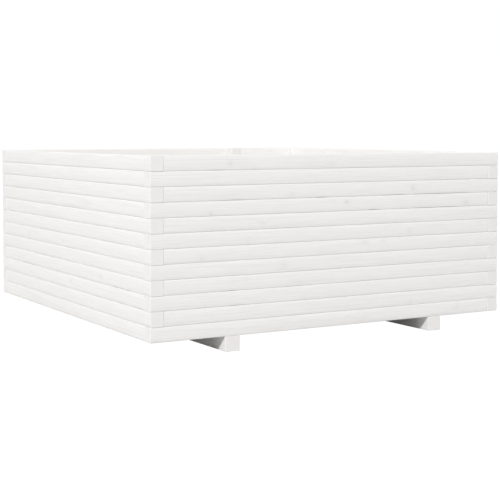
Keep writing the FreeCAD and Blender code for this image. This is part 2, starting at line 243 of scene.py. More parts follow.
@dataclass(frozen=True)
class WhitePine(Finish):
    """Pine under a thin white stain, through which rings, knots and tints still show.

    Scales say how many grains fit in a metre, along the log and across it.
    """

    stain: Triple = (0.9, 0.889, 0.874)
    # Painted shade: the outer faces are tinted a little darker than the inner faces, so that the inside
    # reads as more brightly lit.
    outer_tint: Triple = (0.975, 0.975, 0.975)
    patch_share: float = 0.1
    patch_edge: Pair = (0.5, 0.78)
    patch_roughness: float = 0.55
    layers: float = 3.0
    ring_spacing: float = 4.6
    ring_drift: float = 14.0
    ring_drift_scales: Triple = (1.6, 9.0, 9.0)
    ring_ripple: float = 1.6
    ring_ripple_scales: Triple = (12.0, 60.0, 60.0)
    ring_taper: float = 0.006
    ring_sharpness: float = 3.0
    ring_close: Pair = (0.9, 1.0)
    ring_faintest: float = 0.45
    ring_variety: float = 0.9
    ring_tint: Triple = (0.93, 0.918, 0.908)
    ring_share: float = 0.5
    coarse_scales: Triple = (7.0, 400.0, 400.0)
    coarse_share: float = 0.65
    fine_scales: Triple = (18.0, 900.0, 900.0)
    fine_share: float = 0.35
    fibre_roughness: float = 0.6
    fibre_depth: float = 0.28
    knot_pull: float = 8.0
    knot_stretch: float = 0.75
    knot_wobble: float = 0.5
    knot_wobble_scale: float = 160.0
    knot_smallest: float = 0.5
    knot_faintest: float = 0.01
    knot_fade: float = 0.22
    knot_edge: Pair = (0.1, 1.6)
    knot_tint: Triple = (0.71, 0.69, 0.685)
    halo_tint: Triple = (0.95, 0.935, 0.93)
    end_tint: Triple = (0.982, 0.98, 0.979)
    end_ring_tint: Triple = (0.93, 0.92, 0.91)
    end_ring_share: float = 0.5
    saw_stretch: Triple = (3.0, 1.0, 0.04)
    saw_scale: float = 900.0
    saw_depth: float = 0.04
    relief: float = 0.12
    relief_strength: float = 0.6
    relief_by_grain: float = 0.5
    relief_by_saw: float = 1.5
    roughness: float = 0.65
    rough_by_grain: float = 0.12
    smooth_by_knots: float = 0.08
    sheen_index: float = 1.45
    sheen_level: float = 0.06

    def surface(self, graph: Graph) -> Wire:
        """Make a satin shader with the grain in its colour, its roughness and its relief, and with
        painted shade that leaves the outer faces a little darker than the inner ones.

        Args:
            graph: The material's graph.

        Returns:
            The shader.
        """
        grain = self.written(graph, "grain")
        end = self.written(graph, "end_grain", "Fac")
        inner = self.written(graph, "inner_face", "Fac")
        pull, heart, halo = self.knots(graph, grain)
        rings = self.rings(graph, grain, pull)
        fibres = self.fibres(graph, grain)
        saw = self.saw_marks(graph, grain) * end
        # Painted shade on the outer faces, which leaves the inner faces lighter.
        colour = graph.tint(self.patches(graph, grain), 1.0 - inner, self.outer_tint)
        colour = graph.tint(colour, rings * (pull + self.ring_share) * (1.0 - end), self.ring_tint)
        colour = graph.tint(colour, halo, self.halo_tint)
        colour = graph.tint(colour, heart, self.knot_tint)
        colour = graph.tint(colour, end, self.end_tint)
        colour = graph.tint(colour, rings * end * self.end_ring_share, self.end_ring_tint)
        shade = (fibres - 0.5) * (1.0 - end) * self.fibre_depth + saw * self.saw_depth + 1.0
        height = (rings + fibres - heart) * self.relief_by_grain + saw * self.relief_by_saw
        inputs = {"Strength": self.relief_strength, "Distance": self.relief * MM, "Height": height}
        roughness = (fibres - 0.5 + end) * self.rough_by_grain - heart * self.smooth_by_knots
        inputs = {
            "Base Color": colour * shade,
            "Roughness": roughness + self.roughness,
            "Normal": graph.add("ShaderNodeBump", inputs),
            "IOR": self.sheen_index,
            "Specular IOR Level": self.sheen_level,
        }
        return graph.add("ShaderNodeBsdfPrincipled", inputs)

    def written(self, graph: Graph, name: str, output: str = "Vector") -> Wire:
        """Return a value that was written to the mesh."""
        return graph.add("ShaderNodeAttribute", output=output, attribute_name=name)

    def knots(self, graph: Graph, grain: Wire) -> tuple[Wire, Wire, Wire]:
        """Find the knots.

        Args:
            graph: The material's graph.
            grain: The place in the log.

        Returns:
            The pull on the rings, the knots' hearts and the soft tint round them, from 0 to 1.
        """
        tones = self.written(graph, "knot_tone").parts()
        wobble = (graph.noise(grain, self.knot_wobble_scale, 1.0) - 0.5) * self.knot_wobble
        pull, heart, halo = 0.0, 0.0, 0.0
        for number, tone in enumerate(tones):
            along, up, radius = self.written(graph, f"knot_{number}").parts()
            along = along * self.knot_stretch
            distance = (along * along + up * up) ** 0.5
            reach = distance / radius.at_least(self.knot_smallest * MM) + wobble
            near = (reach * reach * -self.knot_fade).exp()
            pull = near * (tone > self.knot_faintest) + pull
            heart = (1.0 - reach.rise(*self.knot_edge)) * tone + heart
            halo = near * tone + halo
        return pull, heart, halo

    def rings(self, graph: Graph, grain: Wire, pull: Wire) -> Wire:
        """Make the late wood: thin lines round the pith, pushed aside by the knots.

        Args:
            graph: The material's graph.
            grain: The place in the log, with the pith along X.
            pull: How far the rings bulge round knots, from 0 to 1.

        Returns:
            0 in early wood and up to 1 in late wood.
        """
        along, across, up = grain.parts()
        drift = graph.noise(grain * self.ring_drift_scales) - 0.5
        ripple = graph.noise(grain * self.ring_ripple_scales) - 0.5
        radius = graph.join(0.0, across, up).length() + along * self.ring_taper
        radius = radius + drift * (self.ring_drift * MM) + ripple * (self.ring_ripple * MM)
        rings = (radius + pull * (self.knot_pull * MM)) / (self.ring_spacing * MM)
        year = rings.whole()
        phase = rings - year
        strength = graph.add("ShaderNodeTexWhiteNoise", {"W": year}, noise_dimensions="1D")
        line = phase ** self.ring_sharpness * (1.0 - phase.rise(*self.ring_close))
        return line * (strength * self.ring_variety + self.ring_faintest)

    def fibres(self, graph: Graph, grain: Wire) -> Wire:
        """Return the fine streaks along the grain, around 0.5."""
        coarse = graph.noise(grain * self.coarse_scales, 1.0, self.layers, self.fibre_roughness)
        fine = graph.noise(grain * self.fine_scales, roughness=self.fibre_roughness)
        return coarse * self.coarse_share + fine * self.fine_share

    def saw_marks(self, graph: Graph, grain: Wire) -> Wire:
        """Return the upright scratches that a saw leaves on end grain, around 0."""
        return graph.noise(grain * self.saw_stretch, self.saw_scale) - 0.5

    def patches(self, graph: Graph, grain: Wire) -> Wire:
        """Make the stain with its faint pinkish, yellowish and greyish patches.

        Args:
            graph: The material's graph.
            grain: The place in the log.

        Returns:
            The colour.
        """
        colour = self.stain
        for tint, scales, shift in STAIN_PATCHES:
            place = grain * scales + (shift, shift, 0.0)
            cloud = graph.noise(place, 1.0, self.layers, self.patch_roughness)
            colour = graph.tint(colour, cloud.rise(*self.patch_edge) * self.patch_share, tint)
        return colour


@dataclass(frozen=True)
class ZincPlate(Finish):
    """Zinc-plated steel, slightly cloudy."""

    slot: str = "screw_steel"
    steel: Triple = (0.62, 0.62, 0.64)
    cloud_tint: Triple = (0.89, 0.904, 0.94)
    cloud_scale: float = 600.0
    cloud_layers: float = 3.0
    cloud_roughness: float = 0.2
    roughness: float = 0.28

    def surface(self, graph: Graph) -> Wire:
        """Make a metal shader with cloudy colour and roughness.

        Args:
            graph: The material's graph.

        Returns:
            The shader.
        """
        place = graph.add("ShaderNodeTexCoord", output="Object")
        cloud = graph.noise(place, self.cloud_scale, self.cloud_layers)
        inputs = {
            "Base Color": graph.tint(self.steel, cloud, self.cloud_tint),
            "Metallic": 1.0,
            "Roughness": cloud * self.cloud_roughness + self.roughness,
        }
        return graph.add("ShaderNodeBsdfPrincipled", inputs)


def carve(name: str, tree: bpy.types.NodeTree, values: Mapping[str, object],
          points: Sequence[Vector] = (), aims: Sequence[Vector] = ()) -> bpy.types.Object:
    """Run a Geometry Nodes tree and keep the result as a plain mesh.

    Args:
        name: The name of the piece.
        tree: The tree.
        values: A value for each named input.
        points: The points that the tree starts from, in millimetres.
        aims: A direction for each point, where the tree reads one.

    Returns:
        The finished piece, at the origin.
    """
    seeds = bpy.data.meshes.new(name + "_points")
    seeds.from_pydata([tuple(point * MM) for point in points], [], [])
    if aims:
        aim = seeds.attributes.new("aim", "FLOAT_VECTOR", "POINT")
        for item, value in zip(aim.data, aims):
            item.vector = value
    piece = stand(name, seeds)
    modifier = piece.modifiers.new("shape", "NODES")
    modifier.node_group = tree
    for item in tree.interface.items_tree:
        if item.in_out == "INPUT" and item.name in values:
            modifier[item.identifier] = values[item.name]
    depsgraph = bpy.context.evaluated_depsgraph_get()
    mesh = bpy.data.meshes.new_from_object(
        piece.evaluated_get(depsgraph), preserve_all_data_layers=True, depsgraph=depsgraph)
    piece.modifiers.remove(modifier)
    piece.data = mesh
    mesh.name = name
    bpy.data.meshes.remove(seeds)
    return piece


def stand(name: str, data: bpy.types.ID) -> bpy.types.Object:
    """Return a new object of the scene that shows this data."""
    thing = bpy.data.objects.new(name, data)
    bpy.context.scene.collection.objects.link(thing)
    return thing


def dress(piece: bpy.types.Object, node: str) -> None:
    """Let a piece stand for a node of the frame and ride with it.

    Args:
        piece: The finished piece.
        node: The node's name.
    """
    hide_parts(node)
    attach(piece, ROOT)
    log.info("%s: %d faces for %s", piece.name, len(piece.data.polygons), node)


class ShapeTree:
    """A Geometry Nodes tree with named inputs."""

    def __init__(self, name: str, inputs: Mapping[str, str]) -> None:
        """Make the tree and its inputs.

        Args:
            name: The tree's name.
            inputs: The kind of each input: Float, Vector, Bool, Material or Geometry.
        """
        self.tree = bpy.data.node_groups.new(name, "GeometryNodeTree")
        self.tree.interface.new_socket("Geometry", in_out="OUTPUT", socket_type="NodeSocketGeometry")
        for label, kind in inputs.items():
            self.tree.interface.new_socket(label, in_out="INPUT", socket_type="NodeSocket" + kind)
        self.graph = Graph(self.tree)
        entry = self.graph.add("NodeGroupInput")
        self.given = {label: entry.beside(label) for label in inputs}

    def node(self, kind: str, inputs: Mapping[str, object] | None = None, **settings: object) -> Wire:
        """Add a geometry node by the last part of its type's name, and return its output."""
        return self.graph.add("GeometryNode" + kind, inputs, **settings)

    def cut(self, body: Wire, tools: Wire | list[Wire]) -> Wire:
        """Return a body with the tools cut out of it."""
        inputs = {"Mesh 1": body, "Mesh 2": tools}
        return self.node("MeshBoolean", inputs, operation="DIFFERENCE", solver="EXACT")

    def end(self, geometry: Wire) -> None:
        """Finish the tree with real geometry in its material.

        Args:
            geometry: The shape.
        """
        real = self.node("RealizeInstances", {"Geometry": geometry})
        dressed = self.node("SetMaterial", {"Geometry": real, "Material": self.given["Material"]})
        self.graph.add("NodeGroupOutput", {"Geometry": dressed})


class StickTree(ShapeTree):
    """Planes a stick: a rounded section swept along X, bevelled at its sawn ends."""

    SIZES = ("Length", "Depth", "Height", "Edge Radius", "End Bevel", "Crown", "Waver")
    ARC_STEPS = 4
    FACE_CUTS = 4
    STATIONS = 78
    SOFT_END = 9.0 * MM
    SHARP_ANGLE = math.radians(30.0)
    SINK_SIDES = 20
    SINK_TIP = 0.3 * MM
    WAVER_SCALES = (7.0, 40.0, 40.0)
    WAVER_EDGE = (0.25, 0.75)
    FACING = 0.6

    def __init__(self) -> None:
        """Build the tree."""
        floats = (*self.SIZES, "Seed", "Sink Radius", "Sink Depth")
        vectors = ["Grain Shift", "Knot Tone", "Sink Turn", "Turn", "Place"]
        vectors += [f"Knot {number}" for number in range(KNOTS_PER_STICK)]
        vectors += [f"Gap {number}" for number in range(GAPS_PER_STICK)]
        inputs = {"Geometry": "Geometry", "Material": "Material", "Has Sinks": "Bool"}
        inputs.update({label: "Float" for label in floats})
        inputs.update({label: "Vector" for label in vectors})
        super().__init__("planed_stick", inputs)
        stick = self.plane(self.sweep())
        self.end(self.finish(self.mark(self.sink(stick))))

    def sweep(self) -> Wire:
        """Return the plain stick: its rounded section along a line with a station at each bevel."""
        graph, given = self.graph, self.given
        inputs = {"Width": given["Depth"], "Height": given["Height"]}
        section = self.node("CurvePrimitiveQuadrilateral", inputs, mode="RECTANGLE")
        inputs = {"Curve": section, "Count": self.ARC_STEPS, "Radius": given["Edge Radius"]}
        section = self.node("FilletCurve", inputs, mode="POLY")
        index = self.node("InputIndex")
        ends_arc = graph.maths("MODULO", index, self.ARC_STEPS + 1) > (self.ARC_STEPS - 0.5)
        inputs = {"Curve": section, "Cuts": ends_arc * self.FACE_CUTS}
        section = self.node("SubdivideCurve", inputs)
        line = self.node("CurvePrimitiveLine", {"End": (1.0, 0.0, 0.0)})
        line = self.node("ResampleCurve", {"Curve": line, "Count": self.STATIONS})
        bevel = given["End Bevel"]
        steps = self.STATIONS - 3
        step = (given["Length"] - bevel * 2.0) / steps
        x = bevel * index.limit(0, 1) + step * (index - 1).limit(0, steps)
        x = x + bevel * (index - (steps + 1)).limit(0, 1) - given["Length"] * 0.5
        line = self.node("SetPosition", {"Geometry": line, "Position": graph.join(x, 0.0, 0.0)})
        inputs = {"Curve": line, "Profile Curve": section, "Fill Caps": True}
        return self.node("CurveToMesh", inputs)

    def plane(self, stick: Wire) -> Wire:
        """Shape the stick's faces.

        Args:
            stick: The plain stick.

        Returns:
            The stick with its bevels, its crown, its waver and its open stretches.
        """
        graph, given = self.graph, self.given
        position = self.node("InputPosition")
        x, y, z = position.parts()
        flat_y = given["Depth"] * 0.5 - given["Edge Radius"]
        flat_z = given["Height"] * 0.5 - given["Edge Radius"]
        core = graph.join(x, y.limit(flat_y * -1.0, flat_y), z.limit(flat_z * -1.0, flat_z))
        outwards = graph.maths("NORMALIZE", position - core)
        at_end = x.size() > (given["Length"] - given["End Bevel"]) * 0.5
        place = position * self.WAVER_SCALES + graph.join(given["Seed"], 0.0, 0.0)
        waver = graph.noise(place).rise(*self.WAVER_EDGE)
        inwards = at_end * given["End Bevel"] + waver * given["Waver"]
        outer = 0.5 - y / given["Depth"]
        lower = 0.5 - z / given["Height"]
        share = z / (given["Height"] * 0.5)
        crown = share * share * given["Crown"] * outer
        lift = 0.0
        for number in range(GAPS_PER_STICK):
            middle, half, rise = given[f"Gap {number}"].parts()
            inside = ((half + self.SOFT_END - (x - middle).size()) / self.SOFT_END).limit(0.0, 1.0)
            lift = inside * rise + lift
        offset = graph.join(0.0, crown, lift * outer * lower * lower) - outwards * inwards
        return self.node("SetPosition", {"Geometry": stick, "Offset": offset})

    def sink(self, stick: Wire) -> Wire:
        """Countersink the stick at the given points.

        Args:
            stick: The stick.

        Returns:
            The stick, cut only where it has such points.
        """
        given = self.given
        inputs = {"Vertices": self.SINK_SIDES, "Radius Top": self.SINK_TIP,
                  "Radius Bottom": given["Sink Radius"], "Depth": given["Sink Depth"]}
        cone = self.node("MeshCone", inputs)
        inputs = {"Points": given["Geometry"], "Instance": cone, "Rotation": given["Sink Turn"]}
        cones = self.node("InstanceOnPoints", inputs)
        cones = self.node("RealizeInstances", {"Geometry": cones})
        inputs = {"Switch": given["Has Sinks"], "False": stick, "True": self.cut(stick, cones)}
        return self.node("Switch", inputs, input_type="GEOMETRY")

    def mark(self, stick: Wire) -> Wire:
        """Write the grain, the knots and the kinds of faces to the stick, in its own frame.

        Args:
            stick: The shaped stick.

        Returns:
            The stick with its attributes.
        """
        graph, given = self.graph, self.given
        position = self.node("InputPosition")
        x, _, z = position.parts()
        stick = self.store(stick, "grain", position + given["Grain Shift"])
        for number in range(KNOTS_PER_STICK):
            along, up, radius = given[f"Knot {number}"].parts()
            stick = self.store(stick, f"knot_{number}", graph.join(x - along, z - up, radius))
        stick = self.store(stick, "knot_tone", given["Knot Tone"])
        facing = self.node("InputNormal").parts()
        stick = self.store(stick, "end_grain", facing[0].size() > self.FACING, "FLOAT", "FACE")
        # inner_face marks the faces that are left lighter than the outer ones, as painted light inside
        # the planter.
        return self.store(stick, "inner_face", facing[1] > self.FACING, "FLOAT", "FACE")

    def store(self, stick: Wire, name: str, value: Wire, kind: str = "FLOAT_VECTOR",
              domain: str = "POINT") -> Wire:
        """Return the stick with an attribute: a vector for each vertex, or another kind elsewhere."""
        inputs = {"Geometry": stick, "Name": name, "Value": value}
        return self.node("StoreNamedAttribute", inputs, data_type=kind, domain=domain)

    def finish(self, stick: Wire) -> Wire:
        """Smooth the faces, keep the arrises sharp, and turn and place the stick.

        Args:
            stick: The stick in its own frame.

        Returns:
            The stick in the planter.
        """
        given = self.given
        angle = self.node("InputMeshEdgeAngle")
        inputs = {"Geometry": stick, "Shade Smooth": True}
        stick = self.node("SetShadeSmooth", inputs, domain="FACE")
        inputs = {"Geometry": stick, "Selection": angle > self.SHARP_ANGLE, "Shade Smooth": False}
        stick = self.node("SetShadeSmooth", inputs, domain="EDGE")
        inputs = {"Geometry": stick, "Translation": given["Place"], "Rotation": given["Turn"]}
        return self.node("Transform", inputs)


class ScrewTree(ShapeTree):
    """Puts a countersunk wood screw at every point, its head there and its tip along the aim."""

    TIP_WIDTH = 0.3 * MM
    SIDES = 12
    SPAN_SHARE = 0.56
    SLOT_SHARE = 0.13
    DEPTH_SHARE = 0.2
    TURN_SEED = 7

    def __init__(self) -> None:
        """Build the tree."""
        inputs = {"Geometry": "Geometry", "Material": "Material"}
        inputs.update({label: "Float" for label in ("Head", "Shank", "Length")})
        super().__init__("wood_screws", inputs)
        graph, given = self.graph, self.given
        aim = self.node("InputNamedAttribute", {"Name": "aim"}, data_type="FLOAT_VECTOR")
        turn = graph.add("FunctionNodeAlignRotationToVector", {"Vector": aim * -1.0}, axis="Z")
        inputs = {"Points": given["Geometry"], "Instance": self.screw(), "Rotation": turn}
        screws = self.node("InstanceOnPoints", inputs)
        inputs = {"Max": math.tau, "Seed": self.TURN_SEED}
        spin = graph.add("FunctionNodeRandomValue", inputs, data_type="FLOAT")
        inputs = {"Instances": screws, "Rotation": graph.join(0.0, 0.0, spin), "Local Space": True}
        self.end(self.node("RotateInstances", inputs))

    def screw(self) -> Wire:
        """Return one screw with its head at the origin, its tip towards -Z and a cross in its head."""
        graph, given = self.graph, self.given
        head, shank, length = given["Head"], given["Shank"], given["Length"]
        index = self.node("InputIndex")
        first, second, third = ((index - start).limit(0, 1) for start in range(3))
        cone = (head - shank) * 0.5
        depth = cone * first + (length - cone - shank) * second + shank * third
        line = self.node("CurvePrimitiveLine", {"End": (0.0, 0.0, -1.0)})
        line = self.node("ResampleCurve", {"Curve": line, "Count": 4})
        inputs = {"Geometry": line, "Position": graph.join(0.0, 0.0, depth * -1.0)}
        line = self.node("SetPosition", inputs)
        radius = head * 0.5 - cone * first + (self.TIP_WIDTH - shank * 0.5) * third
        ring = self.node("CurvePrimitiveCircle", {"Resolution": self.SIDES, "Radius": 1.0})
        inputs = {"Curve": line, "Profile Curve": ring, "Scale": radius, "Fill Caps": True}
        body = self.node("CurveToMesh", inputs)
        span, slot, sunk = head * self.SPAN_SHARE, head * self.SLOT_SHARE, head * self.DEPTH_SHARE * 2.0
        bars = [self.node("MeshCube", {"Size": graph.join(*size)})
                for size in ((span, slot, sunk), (slot, span, sunk))]
        return self.cut(body, bars)


class Wall(Enum):
    """The four walls, in quarter turns from the front wall."""

    FRONT = 0
    RIGHT = 1
    BACK = 2
    LEFT = 3

    @property
    def node(self) -> str:
        """The wall's name in the frame."""
        return self.name.lower()

    @property
    def turn(self) -> Matrix:
        """The turn from the front wall to this wall."""
        return Matrix.Rotation(self.value * QUARTER_TURN, 3, "Z")


@dataclass(frozen=True)
class Block:
    """The room that a node of the frame takes, in millimetres."""

    low: Vector
    high: Vector

    @classmethod
    def of(cls, node: str) -> "Block":
        """Return the room of a node."""
        low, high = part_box(node)
        return cls(low / MM, high / MM)

    @property
    def middle(self) -> Vector:
        """The middle of the room."""
        return (self.low + self.high) / 2.0

    @property
    def spans(self) -> Vector:
        """Its sizes along X, Y and Z."""
        return self.high - self.low


@dataclass(frozen=True)
class Seat:
    """Where a screw enters the wood, and the way that it points."""

    point: Vector
    aim: Vector


@dataclass(frozen=True)
class ScrewKind:
    """A kind of screw and the countersink that its head lies in."""

    node: str
    head: float
    shank: float
    length: float
    recess: float = 0.5
    room: float = 0.3

    @property
    def sink(self) -> float:
        """The countersink's radius at the surface and its depth: its sides slope at 45 degrees."""
        return self.head / 2.0 + self.room + self.recess


@dataclass
class Joinery:
    """Where the screws go, by the same rules in every wall."""

    in_battens: ScrewKind = ScrewKind("batten_screws", 9.0, 4.5, 60.0)
    in_uprights: ScrewKind = ScrewKind("upright_screws", 8.0, 4.0, 50.0)
    in_boards: ScrewKind = ScrewKind("floor_screws", 8.0, 4.0, 40.0)
    in_bearers: ScrewKind = ScrewKind("bearer_screws", 10.0, 5.0, 69.0)
    corner_offset: float = 7.0
    inset: float = 40.0
    stagger: float = 20.0
    upright_screw_height: float = 10.0
    board_count: int = 10
    board_gap: float = 5.0
    board_screw_spacing: float = 50.0
    bearer_screw_spacing: float = 20.0
    rows: int = sum(name.startswith(Wall.FRONT.node + "_batten_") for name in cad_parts)

    def lap(self, row: int) -> float:
        """Return which end of a row's battens laps over, seen from outside: 1 for the right."""
        return -1.0 if row % 2 == 0 else 1.0

    def batten(self, wall: Wall, row: int) -> list[Seat]:
        """Find the screws that a batten sends up into the row above.

        Args:
            wall: The batten's wall.
            row: Its row, counted from the rim.

        Returns:
            One seat in the lapped corner, where it ties two walls together, and three along the wall.
        """
        block = Block.of(f"{wall.node}_batten_{row:02d}")
        half = CAD_BOX[1][0] / MM
        thickness = min(block.spans.xy)
        length = max(block.spans.xy)
        middle = (block.middle @ wall.turn).x
        way = self.lap(row)
        corner = thickness / 2.0 + way * self.corner_offset
        places = [(middle + way * (length / 2.0 - corner), corner - half)]
        for station in (thickness + self.inset - half, 0.0, half - thickness - self.inset):
            places.append((station + way * self.stagger / 2.0, thickness / 2.0 - half))
        return [Seat(wall.turn @ Vector((x, y, block.low.z)), UP) for x, y in places]

    def upright(self, wall: Wall) -> list[Seat]:
        """Find the screws of an upright, one into each row above the floor.

        Args:
            wall: The wall that it stands against.

        Returns:
            The seats on its inner face.
        """
        block = Block.of(wall.node + "_upright")
        aim = wall.turn @ Vector((0.0, -1.0, 0.0))
        inner = block.middle - aim * block.spans.y / 2.0
        lows = [Block.of(f"{wall.node}_batten_{row:02d}").low.z for row in range(1, self.rows)]
        return [Seat(Vector((inner.x, inner.y, low + self.upright_screw_height)), aim) for low in lows]

    @property
    def board_width(self) -> float:
        """The width of a floor board."""
        pitch = (Block.of("floor_boards").spans.y + self.board_gap) / self.board_count
        return pitch - self.board_gap

    @property
    def board_middles(self) -> list[float]:
        """Where the middle of each floor board is along Y."""
        first = Block.of("floor_boards").low.y + self.board_width / 2.0
        pitch = self.board_width + self.board_gap
        return [first + number * pitch for number in range(self.board_count)]

    def board(self, middle: float) -> list[Seat]:
        """Find the screws of a floor board, two into each bearer.

        Args:
            middle: Where the middle of the board is along Y.

        Returns:
            The seats on its top.
        """
        top = Block.of("floor_boards").high.z
        places = [(Block.of(bearer).middle.x, middle + side * self.board_screw_spacing / 2.0)
                  for bearer in BEARERS for side in (-1.0, 1.0)]
        return [Seat(Vector((x, y, top)), -UP) for x, y in places]

    def bearer(self, node: str) -> list[Seat]:
        """Find the screws that a bearer sends up into the lowest battens of two walls.

        Args:
            node: The bearer.

        Returns:
            The seats on its underside.
        """
        block = Block.of(node)
        reach = (block.spans.y - Block.of("front_batten_01").spans.y) / 2.0
        places = [(block.middle.x + side * self.bearer_screw_spacing / 2.0, end * reach)
                  for end in (-1.0, 1.0) for side in (-1.0, 1.0)]
        return [Seat(Vector((x, y, block.low.z)), UP) for x, y in places]


@dataclass(frozen=True)
class Knot:
    """A knot on the outer face of a stick, in millimetres from the middle of that face."""

    along: float
    up: float
    radius: float
    tone: float


@dataclass(frozen=True)
class Gap:
    """A stretch where the lower edge of a batten lies a little open, in millimetres."""

    start: float
    end: float
    rise: float


@dataclass
class Stick:
    """A planed stick in its local frame, cut from a log of its own."""

    PITH_REACH = (24.0, 75.0)
    LOG_STARTS = (1.0, 30.0)
    WAVER_SEEDS = (1.0, 90.0)

    length: float
    depth: float
    height: float
    edge_radius: float
    end_bevel: float = 0.8
    crown: float = 0.0
    waver: float = 0.1
    knots: Sequence[Knot] = ()
    gaps: Sequence[Gap] = ()
    screw: ScrewKind | None = None
    seats: Sequence[Seat] = ()

    def make(self, name: str, tree: StickTree, material: bpy.types.Material,
             turn: Triple, place: Vector) -> bpy.types.Object:
        """Plane this stick and put it in its place.

        Args:
            name: The name of the piece, which also picks its log.
            tree: The tree that planes sticks.
            material: Its finish.
            turn: The turn from the local frame to the planter's, in radians.
            place: The middle of the stick in the planter.

        Returns:
            The piece.
        """
        chance = random.Random(name)
        pith = chance.uniform(*self.PITH_REACH) * MM
        bearing = chance.uniform(0.0, math.tau)
        shift = (chance.uniform(*self.LOG_STARTS), pith * math.cos(bearing), pith * math.sin(bearing))
        values = {"Material": material, "Turn": turn, "Place": tuple(place * MM), "Grain Shift": shift,
                  "Seed": chance.uniform(*self.WAVER_SEEDS)}
        for label in tree.SIZES:
            values[label] = getattr(self, label.lower().replace(" ", "_")) * MM
        tones = [0.0] * KNOTS_PER_STICK
        for number, knot in enumerate(self.knots):
            values[f"Knot {number}"] = (knot.along * MM, knot.up * MM, knot.radius * MM)
            tones[number] = knot.tone
        values["Knot Tone"] = tuple(tones)
        for number, gap in enumerate(self.gaps):
            middle, half = (gap.start + gap.end) / 2.0, (gap.end - gap.start) / 2.0
            values[f"Gap {number}"] = (middle * MM, half * MM, gap.rise * MM)
        values["Has Sinks"] = bool(self.seats)
        points = []
        if self.seats:
            to_local = Euler(turn).to_matrix().transposed()
            aim = to_local @ self.seats[0].aim
            points = [to_local @ (seat.point - place) for seat in self.seats]
            values["Sink Turn"] = tuple(aim.to_track_quat("Z", "Y").to_euler())
            values["Sink Radius"] = values["Sink Depth"] = self.screw.sink * MM
        return carve(name, tree.tree, values, points)


# Knots and marks that the photograph shows, by wall and row: along the wall from its middle, up from
# the middle of the row, radius and tone.
KNOTS = {
    Wall.FRONT: {
        1: ((-329.0, -3.0, 3.5, 0.23), (-23.0, -5.0, 6.0, 0.07)),
        3: ((245.0, -1.5, 5.0, 0.3), (-145.0, -6.0, 7.0, 0.1)),
        4: ((25.0, 5.0, 5.0, 0.3), (432.0, -7.5, 6.0, 0.25), (-384.0, -12.0, 5.0, 0.18)),
        5: ((-233.0, -4.5, 5.5, 0.13),),
        6: ((-275.0, -8.0, 6.5, 0.03), (232.0, -6.0, 5.0, 0.14), (485.0, 10.0, 7.0, 0.07)),
        7: ((-410.0, -10.0, 6.0, 0.12), (84.0, 10.0, 6.0, 0.16), (146.0, 9.0, 4.5, 0.14)),
        8: ((-170.0, -2.0, 7.5, 0.1),),
        9: ((-285.0, 12.0, 4.0, 0.08),),
        11: ((238.0, -10.0, 4.5, 0.2),),
        12: ((402.0, 8.0, 4.5, 0.16),),
    },
    Wall.LEFT: {
        7: ((-25.0, -1.5, 4.5, 0.08), (-305.0, -2.0, 6.0, 0.1)),
        9: ((246.0, -1.5, 5.0, 0.13),),
        10: ((33.0, 5.0, 5.0, 0.1),),
    },
}

# Stretches where the photograph shows a darker joint, by wall and the row above it: where it starts
# and ends along the wall, and how far it opens.
GAPS = {
    Wall.FRONT: {
        1: ((-382.0, -358.0, 0.6),),
        3: ((-335.0, -298.0, 0.5), (-67.0, -43.0, 0.9), (150.0, 214.0, 0.65),
            (262.0, 430.0, 0.6)),
        4: ((105.0, 124.0, 1.0), (259.0, 386.0, 0.6)),
        9: ((-326.0, -318.0, 1.1),),
        10: ((-318.0, -310.0, 0.7),),
    },
    Wall.LEFT: {
        9: ((-351.0, -281.0, 0.5), (-82.0, -43.0, 0.5), (148.0, 190.0, 0.5),
            (323.0, 422.0, 0.6)),
        10: ((258.0, 304.0, 0.5), (361.0, 392.0, 0.6), (458.0, 499.0, 0.6)),
    },
}


@dataclass
class Walls:
    """The four walls: in every row a batten laps over one corner and butts at the other."""

    tree: StickTree
    joinery: Joinery
    crown: float = 0.9
    edge_radius: float = 2.0
    end_bevel: float = 0.7
    butt_gap: float = 0.6
    chance_counts: tuple[int, ...] = (0, 1, 2)
    chance_reach: Pair = (0.45, 0.34)
    chance_radii: Pair = (3.5, 7.0)
    chance_tones: Pair = (0.08, 0.3)
    finish: WhitePine = WhitePine("batten_pine")

    def build(self) -> None:
        """Plane and dress every batten."""
        material = self.finish.material()
        for wall in Wall:
            for row in range(1, self.joinery.rows + 1):
                self.batten(wall, row, material)

    def batten(self, wall: Wall, row: int, material: bpy.types.Material) -> None:
        """Plane and dress one batten.

        Args:
            wall: Its wall.
            row: Its row, counted from the rim.
            material: Its finish.
        """
        node = f"{wall.node}_batten_{row:02d}"
        block = Block.of(node)
        name = "planed_" + node
        shift = Vector((self.butt_gap / 2.0 * self.joinery.lap(row), 0.0, 0.0))
        centre = block.middle + wall.turn @ shift
        middle = (centre @ wall.turn).x
        knots = [Knot(along - middle, *rest) for along, *rest in KNOTS.get(wall, {}).get(row, ())]
        gaps = [Gap(start - middle, end - middle, rise)
                for start, end, rise in GAPS.get(wall, {}).get(row, ())]
        if wall in (Wall.RIGHT, Wall.BACK) and row > 1:
            knots = self.chance_knots(name, block)
        length = max(block.spans.xy) - self.butt_gap
        stick = Stick(length, min(block.spans.xy), block.spans.z, self.edge_radius, self.end_bevel,
                      self.crown, knots=knots, gaps=gaps, screw=self.joinery.in_battens)
        if row == self.joinery.rows:
            stick.seats = self.joinery.batten(wall, row)
        turn = (0.0, 0.0, wall.value * QUARTER_TURN)
        dress(stick.make(name, self.tree, material, turn, centre), node)

    def chance_knots(self, name: str, block: Block) -> list[Knot]:
        """Scatter knots on a batten that the photograph doesn't show.

        Args:
            name: The name of the piece, which picks them.
            block: The room that the batten takes.

        Returns:
            None to two knots.
        """
        chance = random.Random("knots " + name)
        along = max(block.spans.xy) * self.chance_reach[0]
        up = block.spans.z * self.chance_reach[1]
        reaches = ((-along, along), (-up, up), self.chance_radii, self.chance_tones)
        count = chance.choice(self.chance_counts)
        return [Knot(*(chance.uniform(*reach) for reach in reaches)) for _ in range(count)]


